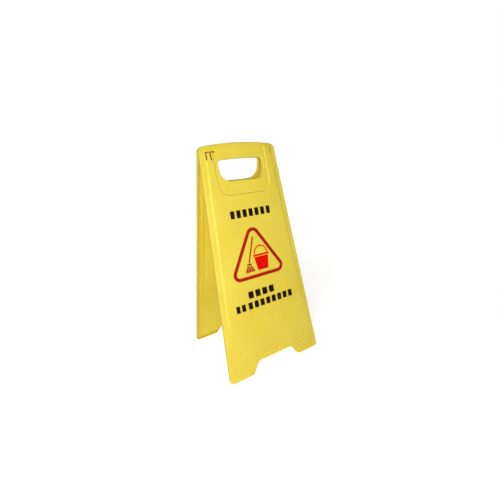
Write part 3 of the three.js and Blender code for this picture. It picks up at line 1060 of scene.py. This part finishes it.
def convex(corners):
    """shape of a convex outline of (x, y, radius) corners, every side shifted out by grow"""
    places = [np.array(corner[:2], float) for corner in corners]
    count = len(places)

    def shape(grow):
        grown = []
        for i, (_, _, radius) in enumerate(corners):
            arriving = unit(places[i] - places[i - 1])
            leaving = unit(places[(i + 1) % count] - places[i])
            first_normal = np.array([arriving[1], -arriving[0]])
            second_normal = np.array([leaving[1], -leaving[0]])
            spread = 1 + float(first_normal @ second_normal)
            x, y = places[i] + (first_normal + second_normal) * (grow / spread)
            grown.append((x, y, radius + grow, 5 if radius < 5 else 14))
        return loop(grown, [1] * count)

    return shape


def triangle_hole(grow):
    shift = grow - BAND
    reach = TRIANGLE_HALF + shift * BAND_SIDE
    radius = HOLE_CORNER_RADIUS + grow
    return loop([(TRIANGLE_X - reach, -BASE_DOWN - shift, radius, 14),
                 (TRIANGLE_X + reach, -BASE_DOWN - shift, radius, 14),
                 (TRIANGLE_X, -APEX_DOWN + BAND_APEX * shift, HOLE_APEX_RADIUS + grow, 14)],
                [1, 1, 1])


def triangle():
    outer = convex([(TRIANGLE_X - TRIANGLE_HALF, -BASE_DOWN, OUTER_RADIUS),
                    (TRIANGLE_X + TRIANGLE_HALF, -BASE_DOWN, OUTER_RADIUS),
                    (TRIANGLE_X, -APEX_DOWN, OUTER_APEX_RADIUS)])
    return [[outer, triangle_hole]]


def upright(x, low, high, low_half, high_half, low_radius, high_radius):
    """symmetrical four-sided shape standing about x"""
    return convex([(x - low_half, low, low_radius), (x + low_half, low, low_radius),
                   (x + high_half, high, high_radius), (x - high_half, high, high_radius)])


def pail():
    """pail body, rim and bail"""
    x = TRIANGLE_X + 14.0
    rim_y = -BASE_DOWN + 62.0
    bail_outer, bail_inner = 21.5, 18.0
    bail_lift, bail_stretch = 1.2, 1.05
    body = upright(x, FIGURE_FOOT, rim_y - 6.8, low_half=16.5, high_half=22,
                   low_radius=3, high_radius=0.6)
    rim = upright(x, rim_y - 5.4, rim_y, low_half=25, high_half=25,
                  low_radius=1.2, high_radius=1.2)

    def bail(grow):
        def arc(radius):
            angles = [math.pi * i / 24 for i in range(25)]
            return [(x + radius * math.cos(a),
                     rim_y + bail_lift + radius * bail_stretch * math.sin(a)) for a in angles]
        return np.array(arc(bail_outer + grow) + arc(bail_inner - grow)[::-1])

    return [[body], [rim], [bail]]


def mop():
    """mop leaning beside the pail: handle, collar and five strands"""
    low_end = np.array([TRIANGLE_X - 26.0, FIGURE_FOOT + 26.0])
    high_end = np.array([TRIANGLE_X - 2.0, -APEX_DOWN - 43.5])
    handle_half, handle_radius = 2.0, 1.2
    along = unit(high_end - low_end)
    across = np.array([-along[1], along[0]]) * handle_half
    handle = convex([(*end, handle_radius) for end in
                     (low_end - across, high_end - across, high_end + across, low_end + across)])
    x, y = low_end - along
    collar = upright(x, y - 6.0, y - 1.2, low_half=7.5, high_half=6.2,
                     low_radius=1.0, high_radius=1.0)
    strands = []
    count, half_gap = 5, 0.45
    foot_half, top_half = 16.0, 7.5
    top = y - 7.3
    for i in range(count):
        left, right = -1 + 2 * i / count, -1 + 2 * (i + 1) / count
        strands.append([convex([(x + foot_half * left + half_gap, FIGURE_FOOT, 2.0),
                                (x + foot_half * right - half_gap, FIGURE_FOOT, 2.0),
                                (x + top_half * right - half_gap, top, 0.3),
                                (x + top_half * left + half_gap, top, 0.3)])])
    return [[handle], [collar]] + strands


HEADING = word(-60, 60, count=7, gap=6.4, top=162.6, bottom=183.0)
UPPER = word(-51.5, 29.5, count=4, gap=6.4, top=380.3, bottom=399.7)
LOWER = (word(-94, -66, count=2, gap=5.8, top=409.6, bottom=428.8)
         + word(-57, 87, count=8, gap=6.0, top=409.6, bottom=428.8))
# object name, node it stands for, material, slot, plates
MARKINGS = [
    ("heading_blocks", "heading_bar", BLACK, "black_ink", HEADING),
    ("legend_upper_blocks", "legend_line_upper", BLACK, "black_ink", UPPER),
    ("legend_lower_blocks", "legend_line_lower", BLACK, "black_ink", LOWER),
    ("triangle_outline", "warning_triangle", DARK_RED, "dark_red_ink", triangle()),
    ("pail_print", "pail_pictogram", RED, "red_ink", pail()),
    ("mop_print", "mop_pictogram", DARK_RED, "dark_red_ink", mop()),
]


def build_marking(side, name, node, material, slot, plates):
    solid = Solid()
    for shapes in plates:
        add_plate(solid, shapes, PRINT_LOW, PRINT_HIGH, PRINT_ROUNDING)
    obj = new_object(side + "_" + name, world(solid.points, side), solid.faces)
    face_outward(obj)
    register(obj, material, node=side + "_" + node, slot=slot, mover=side)


for leaf_side in ("front", "rear"):
    for marking in MARKINGS:
        build_marking(leaf_side, *marking)

# ------------------------------------------------------------------ hinge pins
PIN_HEAD_X = 105.6
PIN_LENGTH = 25.0
PIN_SEGMENTS = 64
# radius, distance from the head's outer face (mm)
PIN_PROFILE = [(2.6, 0.0), (3.9, 0.35), (4.5, 0.9), (4.5, 1.3), (4.2, 1.7), (3.25, 1.8),
               (3.0, 2.1), (3.0, 24.0), (2.85, 24.4), (2.3, PIN_LENGTH)]


def build_pin(name, sign):
    """turned pin pointing inwards along X; sign is the side of the sign it sits on"""
    head_x = sign * PIN_HEAD_X / 1000
    points = [(head_x, 0.0, PIVOT_Z)]
    for radius, distance in PIN_PROFILE:
        for i in range(PIN_SEGMENTS):
            angle = 2 * math.pi * i / PIN_SEGMENTS
            points.append((head_x - sign * distance / 1000,
                           radius / 1000 * math.cos(angle),
                           PIVOT_Z + radius / 1000 * math.sin(angle)))
    points.append((head_x - sign * PIN_LENGTH / 1000, 0.0, PIVOT_Z))
    rows = [1 + k * PIN_SEGMENTS for k in range(len(PIN_PROFILE))]
    faces = []
    for i in range(PIN_SEGMENTS):
        j = (i + 1) % PIN_SEGMENTS
        faces.append((0, 1 + i, 1 + j))
        for row, following in zip(rows, rows[1:]):
            faces.append((row + i, following + i, following + j, row + j))
        faces.append((len(points) - 1, rows[-1] + j, rows[-1] + i))
    pin = new_object(name + "_fine", points, faces)
    tidy(pin, 30)
    register(pin, STEEL, node=name, slot="pin_steel", mover="front")


build_pin("hinge_pin_left", -1)
build_pin("hinge_pin_right", 1)


# ------------------------------------------------------------------ floor (metres)
def floor_material():
    material = bpy.data.materials.new("floor_pale")
    nodes = Nodes(material)
    # the floor stays evenly pale out to the horizon, where the lamps no longer reach it
    camera_ray = nodes.add("LightPath").outputs["Is Camera Ray"]
    position = nodes.add("TexCoord").outputs["Object"]
    distance = nodes.add("VectorMath", {0: position}, operation="LENGTH").outputs["Value"]
    seen_glow = nodes.map_range(distance, "SMOOTHSTEP", from_min=0.25, from_max=2.2,
                                to_min=0.66, to_max=0.90)
    nodes.surface({"Base Color": (0.95, 0.95, 0.95, 1),
                   "Roughness": 0.9,
                   "Specular IOR Level": 0.1,
                   "Emission Color": (1, 1, 1, 1),
                   "Emission Strength": nodes.map_range(camera_ray, to_min=0.16,
                                                        to_max=seen_glow)})
    return material


def build_floor():
    radius, z, segments = 40, -0.0002, 96
    mesh = bpy.data.meshes.new("floor")
    bm = bmesh.new()
    centre = bm.verts.new((0, 0, z))
    angles = [2 * math.pi * i / segments for i in range(segments)]
    ring = [bm.verts.new((radius * math.cos(a), radius * math.sin(a), z)) for a in angles]
    for i in range(segments):
        bm.faces.new((centre, ring[i], ring[(i + 1) % segments]))
    bm.to_mesh(mesh)
    bm.free()
    floor = bpy.data.objects.new("floor", mesh)
    bpy.context.scene.collection.objects.link(floor)
    mesh.materials.append(floor_material())


# ------------------------------------------------------------------ light and camera (metres)
def build_world():
    studio = bpy.data.worlds.new("studio")
    bpy.context.scene.world = studio
    nodes = Nodes(studio)
    camera_ray = nodes.add("LightPath").outputs["Is Camera Ray"]
    # softer light from the sides than from overhead, so edges facing up read a little darker
    direction = nodes.separate(nodes.add("TexCoord").outputs["Generated"])
    glow = nodes.map_range(direction["Z"], "SMOOTHSTEP", from_min=0.10, from_max=0.80,
                           to_min=0.62, to_max=0.06)
    nodes.fill(nodes.tree.nodes["Background"],
               {"Color": (1.0, 1.0, 1.0, 1),
                "Strength": nodes.map_range(camera_ray, to_min=glow, to_max=1.0)})


def area_light(name, location, target, size, power, color=(1, 1, 1)):
    light = bpy.data.lights.new(name, "AREA")
    light.shape = "SQUARE"
    light.size = size
    light.energy = power
    light.color = color
    obj = bpy.data.objects.new(name, light)
    bpy.context.scene.collection.objects.link(obj)
    obj.location = location
    aim = Vector(target) - Vector(location)
    obj.rotation_euler = aim.to_track_quat("-Z", "Y").to_euler()


def build_camera():
    location = (-0.3780016, -0.7191511, 0.5667903)
    # yaw from +Y towards +X, pitch downwards, roll about the view (radians)
    yaw, pitch, roll = 0.5282, 0.3331, -0.0735
    data = bpy.data.cameras.new("camera")
    camera = bpy.data.objects.new("camera", data)
    bpy.context.scene.collection.objects.link(camera)
    forward = Vector((math.sin(yaw) * math.cos(pitch), math.cos(yaw) * math.cos(pitch),
                      -math.sin(pitch)))
    level_right = Vector((math.cos(yaw), -math.sin(yaw), 0.0))
    level_up = level_right.cross(forward)
    right = level_right * math.cos(roll) + level_up * math.sin(roll)
    up = level_right * -math.sin(roll) + level_up * math.cos(roll)
    rows = [(right[i], up[i], -forward[i], location[i]) for i in range(3)]
    camera.matrix_world = Matrix((*rows, (0, 0, 0, 1)))
    data.sensor_width = 36
    data.lens = 21.040092
    data.shift_x = -0.0183788
    data.shift_y = 0.0162142
    data.clip_start = 0.02
    data.clip_end = 60
    bpy.context.scene.camera = camera


build_floor()
build_world()
area_light("key", location=(-0.67, -0.84, 0.62), target=(0, -0.05, 0.38), size=0.45, power=8.6,
           color=(1.0, 0.98, 0.95))
area_light("top", location=(-0.3, -0.3, 2.2), target=(0, 0, 0.2), size=1.6, power=0.6)
area_light("back", location=(0.3, 1.9, 1.2), target=(0, 0, 0.3), size=1.6, power=5)
build_camera()
bpy.context.scene.view_settings.view_transform = "Standard"
bpy.context.scene.view_settings.look = "None"
